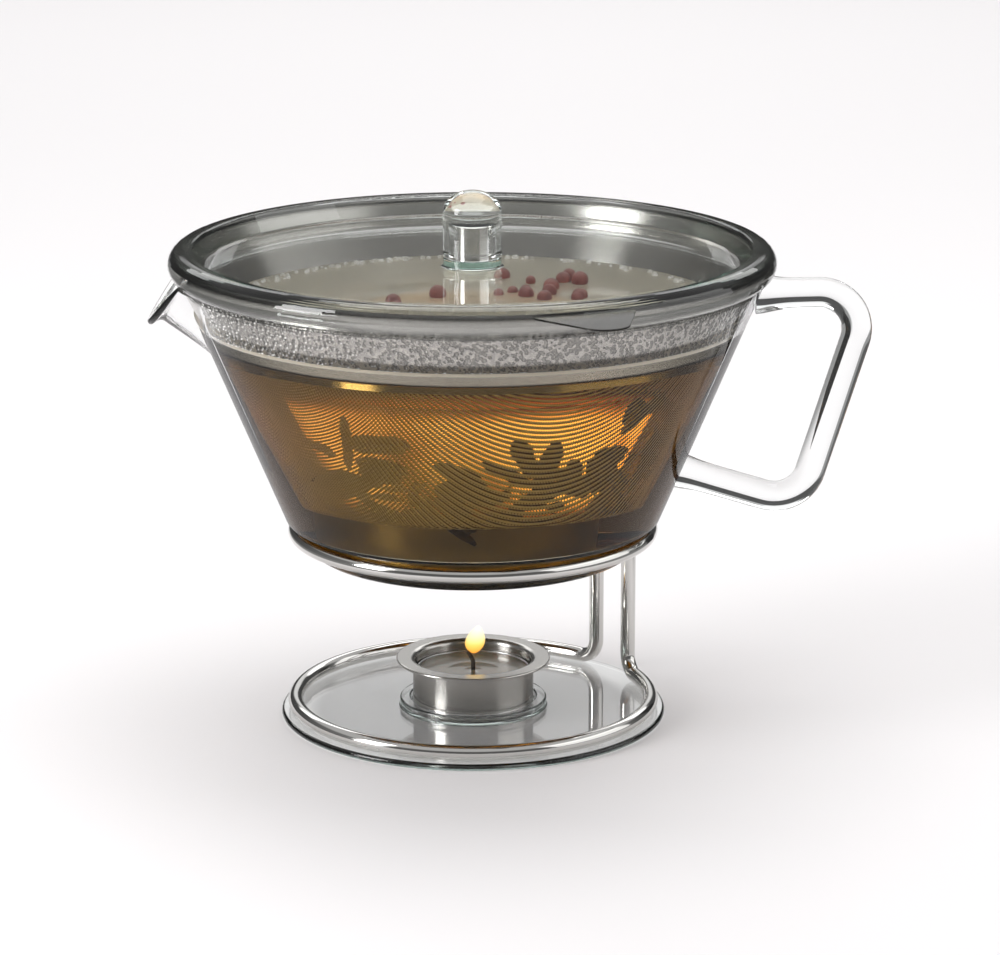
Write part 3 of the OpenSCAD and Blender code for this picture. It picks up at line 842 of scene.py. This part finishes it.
def cone_radius(z, depth=0.0):
    """Outer radius of the pot's cone at height z, set in from its surface by depth."""
    return RIM_RADIUS + (z - RIM_HEIGHT) * WALL_SLOPE - depth / math.cos(WALL_LEAN)


SHOULDER_RADIUS = (cone_radius(SEAT_TOP) - SUPPORT_RADIUS) / (1 / math.cos(WALL_LEAN) - WALL_SLOPE)


def pot_outline(depth, step=6):
    """The pot's outline from the middle of its base up to the start of its cone."""
    lean = math.degrees(WALL_LEAN)
    points = [(0, POT_LOW.z + depth)] + line((8, POT_LOW.z + depth), (HEEL_CENTRE[0], POT_LOW.z + depth), 6)
    points += arc(HEEL_CENTRE, HEEL_RADIUS - depth, -90, 0, step)
    points += arc((SUPPORT_RADIUS, SUPPORT_HEIGHT), SEAT_RADIUS + depth, 170, 90, step)
    points += arc((SUPPORT_RADIUS, SEAT_TOP + SHOULDER_RADIUS), SHOULDER_RADIUS - depth, -85, -lean, step)
    return points


def spout_share(a):
    return math.cos(math.radians(90 * min(1, abs(a) / SPOUT_HALF_ANGLE))) ** 2


def spout_middle(a, u):
    """Middle of the glass at azimuth a from the spout: u is 0 well below it, 1 at the lip
    and 2 over the curl."""
    share = spout_share(a)
    half = GLASS / 2
    lip = RIM_HEIGHT - half - 1.6 - SPOUT_DROP * share
    root = RIM_HEIGHT - 32.4 + 28 * (a / SPOUT_HALF_ANGLE) ** 2
    curl = max(u - 1, 0)
    z = SPOUT_BOTTOM + (lip - SPOUT_BOTTOM) * min(u, 1)
    s = max(0, (z - root) / (lip - root)) if lip > root else 0
    swell = 1.12 * s * s / (s + 0.12)
    radius = cone_radius(z, half) + SPOUT_REACH * share * (0.72 * swell + 0.28 * curl)
    return Vector((radius, z + curl * (1.6 - 0.2 * share) - 2.8 * share * curl * curl))


def wall_slice(a):
    """The whole closed outline of the pot at azimuth a from the spout."""
    steps = [i / 36 for i in range(37)] + [1 + i / 14 for i in range(1, 15)]
    middle = [spout_middle(a, u) for u in steps]
    last = len(middle) - 1
    outer, inner = [], []
    for i in range(last + 1):
        along = (middle[min(i + 1, last)] - middle[max(i - 1, 0)]).normalized()
        across = Vector((along.y, -along.x)) * GLASS / 2
        outer.append(tuple(middle[i] + across))
        inner.append(tuple(middle[i] - across))
    cap = []
    for degrees in range(15, 180, 15):
        t = math.radians(degrees)
        cap.append(tuple(middle[last] + math.cos(t) * across + math.sin(t) * along * GLASS / 2))
    low_outer, low_inner = pot_outline(0), pot_outline(GLASS)
    rise_outer = line(low_outer[-1], outer[0], 12)[1:]
    rise_inner = line(low_inner[-1], inner[0], 12)[1:]
    up = low_outer + rise_outer + outer
    down = low_inner + rise_inner + inner
    return up + cap + list(reversed(down))


def mark_wet(pot):
    """Marks the inside of the glass up to the height of the tea."""
    outer, inner = pot_outline(0, 2), pot_outline(GLASS, 2)
    marks = pot.data.attributes.new("wet", "FLOAT", "POINT")
    for vertex in pot.data.vertices:
        r, z = math.hypot(*(vertex.co.xy / MM)), vertex.co.z / MM
        if z > inner[-1][1]:
            inside = r < cone_radius(z, GLASS / 2)
        else:
            inside = min(math.dist((r, z), p) for p in inner) < min(math.dist((r, z), p) for p in outer)
        marks.data[vertex.index].value = 1.0 if inside and z < TEA_HEIGHT else 0.0


def make_pot():
    glass = clear_glass("pot_glass", 1.474, (0.70, 0.90, 0.84), 6.0, wet=True)
    azimuths = [-SPOUT_HALF_ANGLE * 1.1 + i * SPOUT_HALF_ANGLE * 2.2 / 72 for i in range(73)]
    rest = 360 - 2 * azimuths[-1]
    azimuths += [azimuths[72] + rest * i / 150 for i in range(1, 150)]
    vertices = []
    for a in azimuths:
        turn = math.radians(180 + a)
        measured = a if a <= 180 else a - 360
        for r, z in wall_slice(measured):
            vertices.append((r * math.cos(turn), r * math.sin(turn), z))
    columns = len(vertices) // len(azimuths)
    faces = grid_faces(len(azimuths), columns, True, False)
    pot = make_object("pot_body_glass", vertices, faces, glass, 60)
    mark_wet(pot)
    place(pot, "pot", ["pot_body"])

    start, top, low, end = (92.5, 0, 142.7), (130.4, 0, 143.6), (108, 0, 71.4), (66, 0, 83.8)
    radius = 12.3
    top_bend = bend(top, start, low, radius)
    low_bend = bend(low, top, end, radius)
    path = line(start, tuple(top_bend[0]), 16) + top_bend
    path += line(tuple(top_bend[-1]), tuple(low_bend[0]), 20)[1:] + low_bend
    path += line(tuple(low_bend[-1]), end, 16)[1:] + [end]
    lengths = [0.0]
    for a, b in zip(path, path[1:]):
        lengths.append(lengths[-1] + (Vector(b) - Vector(a)).length)
    rod, reach, top_swell, low_swell = 5.0, 7, 1.6, 1.0
    radii = [rod + top_swell * math.exp(-(s / reach) ** 2)
             + low_swell * math.exp(-((lengths[-1] - s) / reach) ** 2) for s in lengths]
    handle = tube("pot_handle_glass", path, radii, glass, 40, 60)
    place(handle, "pot", ["pot_handle"])


def make_tea():
    """Tea fills the pot and reaches a little into the glass, so that no air shows between them."""
    reach = 0.1
    inner = pot_outline(GLASS - reach)
    wall_top = (cone_radius(TEA_HEIGHT, GLASS - reach), TEA_HEIGHT + 0.8)
    outline = inner + line(inner[-1], wall_top, 20)[1:] + [wall_top]
    outline += [(wall_top[0] - 0.25, TEA_HEIGHT + 0.35), (wall_top[0] - 1.0, TEA_HEIGHT)]
    outline += [(60, TEA_HEIGHT), (30, TEA_HEIGHT), (0, TEA_HEIGHT)]
    place(lathe("tea", outline, tea_liquor("tea"), 256), "pot")


def drop_height(point):
    """How far a droplet of the condensation stands off the glass at a point, as a share of the film."""
    distances, centres = noise.voronoi(point / DROP_SPACING)
    size = 0.46 + 0.2 * noise.noise(centres[0] * 7.3)
    return math.sqrt(max(0.0, 1 - (distances[0] / size) ** 2))


def make_condensation():
    """Droplets on the inside of the glass between the tea and the rim."""
    low, high, rows, columns = TEA_HEIGHT + 1.0, 151.5, 48, 1700
    start, end = 180 + SPOUT_HALF_ANGLE - 1, 540 - SPOUT_HALF_ANGLE + 1
    vertices, heights = [], []
    for i in range(columns + 1):
        a = math.radians(start + (end - start) * i / columns)
        heights += [0.0, 0.0]
        for z in (low, high):
            r = cone_radius(z, GLASS - 0.05)
            vertices.append((r * math.cos(a), r * math.sin(a), z))
        for j in range(rows):
            z = high + (low - high) * j / (rows - 1)
            wall = cone_radius(z, GLASS)
            heights.append(drop_height(Vector((wall * math.cos(a), wall * math.sin(a), z))))
            r = cone_radius(z, GLASS + 0.03 + 0.4 * heights[-1])
            vertices.append((r * math.cos(a), r * math.sin(a), z))
    faces = grid_faces(columns + 1, rows + 2, False, True)
    faces.append(tuple(range(rows + 2)))
    faces.append(tuple(reversed(range(columns * (rows + 2), (columns + 1) * (rows + 2)))))
    film = make_object("condensation", vertices, faces, water_film("water"), 75)
    marks = film.data.attributes.new("drop", "FLOAT", "POINT")
    marks.data.foreach_set("value", heights)
    place(film, "pot")


# ---- strainer ----

SHEET = 0.6
COLLAR_GAP = 0.5
SHELF_HEIGHT = 131.5
MESH_TOP_RADIUS = 59.6
MESH_FOOT_RADIUS = 40.4
COLLAR_KINK = 147.0
COLLAR_FOOT_RADIUS = 83.6
LIP_DROP = 3.5
MESH_SHEET = 0.5


def collar_outline(depth):
    flange_bottom = COLLAR_HIGH.z - SHEET
    top = cone_radius(flange_bottom, GLASS + COLLAR_GAP) - depth
    kink = cone_radius(COLLAR_KINK, GLASS + COLLAR_GAP) - depth
    points = arc((top + 0.8 + depth, flange_bottom - 0.8 + depth), 0.8, 90, 180, 30)
    points += [(kink + 0.15, COLLAR_KINK + 0.8), (kink, COLLAR_KINK), (kink - 0.5, COLLAR_KINK - 0.9)]
    points += arc((COLLAR_FOOT_RADIUS - 2, SHELF_HEIGHT + 2), 2 - depth, -20, -90, 14)
    points += [(70, SHELF_HEIGHT + depth), (MESH_TOP_RADIUS + SHEET - depth, SHELF_HEIGHT + depth)]
    return points


def tab_mesh():
    """The finger tab: a flat tongue that sticks out from under the lid."""
    length, tip, half_width = 22.0, 8.0, 16.3
    lid_radius = LID_HIGH.x
    inner = cone_radius(RIM_HEIGHT, GLASS)
    reach = length - tip
    side = math.degrees(math.atan2(half_width - tip, reach)) * 0.9
    outline = [(inner, -half_width), (lid_radius, -half_width)]
    outline += arc((lid_radius + reach, 0), tip, side - 90, 90 - side)
    outline += [(lid_radius, half_width), (inner, half_width)]
    a = math.radians(-69.3)
    turned = [(x * math.cos(a) - y * math.sin(a), x * math.sin(a) + y * math.cos(a)) for x, y in outline]
    low, high = COLLAR_HIGH.z - SHEET, COLLAR_HIGH.z
    count = len(turned)
    vertices = [(x, y, low) for x, y in turned] + [(x, y, high) for x, y in turned]
    faces = [tuple(reversed(range(count))), tuple(range(count, 2 * count))]
    faces += [(i, (i + 1) % count, count + (i + 1) % count, count + i) for i in range(count)]
    return vertices, faces


def make_strainer():
    # The collar's flange and finger tab, above the given height, get that painted shade.
    steel = brushed("strainer_steel", (0.46, 0.44, 0.415), 0.24, 0.75, 0.05, COLLAR_HIGH.z - 0.9)
    flange_end = cone_radius(COLLAR_HIGH.z - SHEET) - 0.4
    lip_outer = MESH_TOP_RADIUS + SHEET
    lip_bottom = SHELF_HEIGHT - LIP_DROP
    outline = [(flange_end, COLLAR_HIGH.z - SHEET)] + collar_outline(0)
    outline += [(lip_outer, lip_bottom), (MESH_TOP_RADIUS, lip_bottom)]
    outline += list(reversed(collar_outline(SHEET))) + [(flange_end, COLLAR_HIGH.z)]
    vertices, faces = lathe_mesh(outline, 256)
    tab_vertices, tab_faces = tab_mesh()
    faces += [tuple(i + len(vertices) for i in face) for face in tab_faces]
    collar = make_object("strainer_collar_steel", vertices + tab_vertices, faces, steel, 35)
    place(collar, "strainer", ["strainer_collar"])

    low, high = low_and_high("collar_hem")
    outline = arc((high.x - SHEET / 2, low.z + SHEET / 2), SHEET / 2, 180, 360, 30)
    outline += arc((high.x - SHEET / 2, high.z - SHEET / 2), SHEET / 2, 0, 180, 30)
    place(lathe("collar_hem_steel", outline, steel, 192), "strainer", ["collar_hem"])

    outer = MESH_HIGH.x
    corner = 2.0
    lean = math.degrees(math.atan2(outer - MESH_FOOT_RADIUS, lip_bottom - MESH_LOW.z))
    centre = (MESH_FOOT_RADIUS - 1.2, MESH_LOW.z + corner)
    foot = arc(centre, corner, -lean, -90, 12)
    outer_line = [(outer, MESH_HIGH.z), (outer, lip_bottom)]
    outer_line += line((outer - 0.6, lip_bottom - 1.5), foot[0], 6) + foot
    inner_line = arc(centre, corner - MESH_SHEET, -90, -lean, 12)
    inner_line += [(outer - MESH_SHEET, lip_bottom), (outer - MESH_SHEET, MESH_HIGH.z)]
    bottom = [(38.9, MESH_LOW.z), (38.9, MESH_LOW.z + MESH_SHEET)]
    outline = outer_line + bottom + inner_line
    mesh = lathe("strainer_mesh_sheet", outline, perforated("mesh_steel"), 256, sharp=30)
    place(mesh, "strainer", ["strainer_mesh"])

    shift = (PAN_LOW.x + PAN_HIGH.x) / 2
    radius, corner, draft = (PAN_HIGH.x - PAN_LOW.x) / 2, 3.0, 1.2
    centre = (radius - draft - corner, PAN_LOW.z + corner)
    outline = [(0, PAN_LOW.z)] + arc(centre, corner, -90, 0, 12)
    outline += [(radius, MESH_LOW.z), (radius, PAN_HIGH.z), (radius - MESH_SHEET, PAN_HIGH.z)]
    outline += [(radius - MESH_SHEET, MESH_LOW.z)] + arc(centre, corner - MESH_SHEET, 0, -90, 12)
    outline += [(0, PAN_LOW.z + MESH_SHEET)]
    # The pan is rougher than the collar, and its steel is darker as painted shade for its place low in the
    # tea.
    dull_and_painted_shade = brushed("pan_steel", (0.26, 0.24, 0.21), 0.42, 0.0, 0.05)
    pan = lathe("strainer_pan_steel", outline, dull_and_painted_shade, 160, (shift, 0))
    place(pan, "strainer", ["strainer_pan"])


def mesh_radius(z):
    """Inner radius of the strainer at height z."""
    rise = (z - MESH_LOW.z) / (SHELF_HEIGHT - LIP_DROP - MESH_LOW.z)
    return MESH_FOOT_RADIUS + (MESH_TOP_RADIUS - MESH_FOOT_RADIUS) * min(max(rise, 0), 1) - 1.2


def leaf_mesh(length, width, curl, twist):
    """One steeped leaf: a strip with a pointed outline, rolled along its length and twisted."""
    rows, columns = 9, 4
    vertices = []
    for i in range(rows):
        t = i / (rows - 1)
        half = width / 2 * math.sin(math.pi * (0.06 + 0.88 * t)) ** 0.7
        half *= 1 + 0.15 * math.sin(9 * t + twist)
        a = curl * (t - 0.5)
        spine = Vector((math.sin(a), 0, 1 - math.cos(a))) * length / curl
        turn = Matrix.Rotation(twist * (t - 0.5), 3, "X")
        for j in range(columns):
            s = 2 * j / (columns - 1) - 1
            side = turn @ Vector((0, half * s, half * 0.55 * s * s))
            vertices.append(spine + side)
    return vertices, grid_faces(rows, columns, False, False)


def scatter(name, material, seed, count, place_one, body):
    """Many small meshes, each turned at random, joined into one piece."""
    rng = random.Random(seed)
    vertices, faces = [], []
    for _ in range(count):
        spot, shape = place_one(rng)
        a = rng.uniform(0, 2 * math.pi)
        axis = Vector((rng.gauss(0, 1), rng.gauss(0, 1), rng.gauss(0, 1))).normalized()
        spin = Matrix.Rotation(a, 3, axis)
        base = len(vertices)
        vertices += [spot + spin @ v for v in shape[0]]
        faces += [tuple(base + i for i in face) for face in shape[1]]
    return place(make_object(name, vertices, faces, material, 60), body)


def make_leaves():
    leaf = leaf_material("leaf")

    def settled(rng):
        z = rng.uniform(MESH_LOW.z + 2, 96)
        z = min(z, 86 + 14 * noise.noise(Vector((rng.random() * 4, 0, 0))) + rng.uniform(0, 12))
        reach = mesh_radius(z) - 6
        r, a = reach * math.sqrt(rng.random()), rng.uniform(0, 2 * math.pi)
        shape = leaf_mesh(rng.uniform(6, 13), rng.uniform(2.5, 6),
                          rng.uniform(0.8, 2.6), rng.uniform(-2, 2))
        return Vector((r * math.cos(a), r * math.sin(a), z)), shape

    scatter("leaves_settled", leaf, 11, 420, settled, "strainer")
    place(pressed_leaves("leaves_pressed", leaf, 23, 100), "strainer")


def pressed_leaves(name, material, seed, count):
    """Leaves that lie against the inside of the mesh."""
    rng = random.Random(seed)
    vertices, faces = [], []
    for _ in range(count):
        shape = leaf_mesh(rng.uniform(9, 24), rng.uniform(3.5, 9),
                          rng.uniform(0.2, 1.2), rng.uniform(-0.8, 0.8))
        a, z = rng.uniform(0, 2 * math.pi), rng.triangular(80, 124, 90)
        outward = Vector((math.cos(a), math.sin(a), -0.39)).normalized()
        sideways = Vector((-math.sin(a), math.cos(a), 0))
        frame_at = Matrix((sideways, outward.cross(sideways), outward)).transposed()
        turn = Matrix.Rotation(rng.uniform(0, 2 * math.pi), 3, "Z")
        tilt = Matrix.Rotation(rng.uniform(-0.3, 0.3), 3, "X")
        spin = frame_at @ turn @ tilt
        r = mesh_radius(z) - rng.uniform(3.5, 8)
        spot = Vector((r * math.cos(a), r * math.sin(a), z))
        base = len(vertices)
        vertices += [spot + spin @ v for v in shape[0]]
        faces += [tuple(base + i for i in face) for face in shape[1]]
    return make_object(name, vertices, faces, material, 60)


def ball_mesh(radius, rows=8, columns=12):
    vertices = []
    for i in range(rows + 1):
        t = math.pi * i / rows
        vertices += [ring_point(radius * math.sin(t), 360 * j / columns, radius * math.cos(t))
                     for j in range(columns)]
    return vertices, grid_faces(rows + 1, columns, False, True)


def make_berries():
    berry = berry_material("berry")

    def floating(rng):
        if rng.random() < 0.6:
            x, y = rng.uniform(2, 38), rng.uniform(12, 48)
        else:
            x, y = rng.uniform(-45, 0), rng.uniform(-40, 30)
        size = rng.uniform(1.7, 3.0)
        return Vector((x, y, TEA_HEIGHT + rng.uniform(0.0, 0.5) * size)), ball_mesh(size)

    def bubble(rng):
        a = rng.uniform(0, 2 * math.pi)
        size = rng.uniform(0.4, 1.2)
        r = COLLAR_FOOT_RADIUS - 1.2 - size - abs(rng.gauss(0, 1.6))
        return Vector((r * math.cos(a), r * math.sin(a), TEA_HEIGHT + 0.2)), ball_mesh(size, 6, 10)

    scatter("berries", berry, 5, 30, floating, "strainer")
    scatter("bubbles", foam_material("foam"), 8, 260, bubble, "strainer")


def make_glow():
    """Painted light: a glowing shell inside the strainer, behind the leaves at the mesh, stands in for the
    lit tea.
    """
    outline = [(mesh_radius(z) - 10.0, z) for z in (GLOW_LOW, 88, 96, 104, 112, GLOW_HIGH)]
    segments = 96
    vertices = [ring_point(r, 360 * i / segments, z) for r, z in outline for i in range(segments)]
    faces = grid_faces(len(outline), segments, False, True)
    place(make_object("painted_tea_glow", vertices, faces, painted_tea_glow("painted_amber_glow")), "strainer")


# ---- lid ----

def make_lid():
    glass = clear_glass("lid_glass", 1.5, (0.58, 0.90, 0.80), 12.0)
    recess, top = 91.0, LID_HIGH.z
    floor = top - 6.8
    edge = (LID_HIGH.z - LID_LOW.z) / 2
    disc_bottom = floor - 3.0
    skirt = recess - 2.6
    boss_radius, boss_top = KNOB_HIGH.x - 0.1, floor + 3
    outline = [(0, disc_bottom)] + line((10, disc_bottom), (skirt - 1, disc_bottom), 5)
    outline += arc((skirt - 1, disc_bottom + 3), 3, -90, -20, 10)
    outline += arc((recess + 3.6, LID_LOW.z - 1.5), 1.5, 160, 90, 10)
    outline += arc((LID_HIGH.x - edge, LID_LOW.z + edge), edge, -90, 90, 10)
    outline += arc((recess + 1, top - 1), 1, 90, 160, 14)
    outline += arc((recess - 4, floor + 1.5), 1.5, -20, -90, 10)
    outline += [(boss_radius + 0.8, floor)] + arc((boss_radius + 0.8, floor + 0.8), 0.8, 270, 180, 30)
    outline += [(boss_radius, boss_top - 0.3), (boss_radius - 0.3, boss_top), (0, boss_top)]
    place(lathe("lid_plate_glass", outline, glass, 256, sharp=50), "lid", ["lid_plate"])

    clear = clear_glass("knob_glass", 1.5, (0.75, 0.93, 0.88), 8.0)
    radius, core = KNOB_HIGH.x, CORE_HIGH.x
    dome = 7.2
    dome_base = KNOB_HIGH.z - dome
    outline = [(core + 0.05, KNOB_LOW.z), (radius - 0.3, KNOB_LOW.z), (radius, KNOB_LOW.z + 0.3)]
    outline += line((radius, KNOB_LOW.z + 1), (radius, dome_base), 4)
    for degrees in range(0, 90, 4):
        t = math.radians(degrees)
        outline.append((radius * math.cos(t), dome_base + dome * math.sin(t)))
    outline += [(0, KNOB_HIGH.z), (0, CORE_HIGH.z + 0.05), (core + 0.05, CORE_HIGH.z + 0.05)]
    place(lathe("lid_knob_glass", outline, clear, 96, sharp=50), "lid", ["lid_knob"])
    outline = [(0, CORE_LOW.z), (core - 0.2, CORE_LOW.z), (core, CORE_LOW.z + 0.2)]
    outline += [(core, CORE_HIGH.z - 0.3), (core - 0.3, CORE_HIGH.z), (0, CORE_HIGH.z)]
    steel = brushed("core_steel", (0.6, 0.59, 0.57), 0.25, 0.6, 0.04)
    place(lathe("knob_core_steel", outline, steel, 64), "lid", ["knob_core"])


# ---- the scene ----

def set_rendering():
    """Enough bounces for light to go through the lid, the pot, the tea and both sides of the strainer."""
    SCENE.view_settings.view_transform = "Standard"
    cycles = SCENE.cycles
    cycles.max_bounces = 28
    cycles.transmission_bounces = 24
    cycles.glossy_bounces = 8
    cycles.diffuse_bounces = 3
    cycles.transparent_max_bounces = 48
    cycles.volume_bounces = 0
    cycles.sample_clamp_indirect = 20.0


set_rendering()
make_camera()
make_floor()
make_cards()
make_light()
make_plate()
make_stand()
make_holder()
make_tealight()
make_pot()
make_tea()
make_condensation()
make_strainer()
make_leaves()
make_berries()
make_glow()
make_lid()
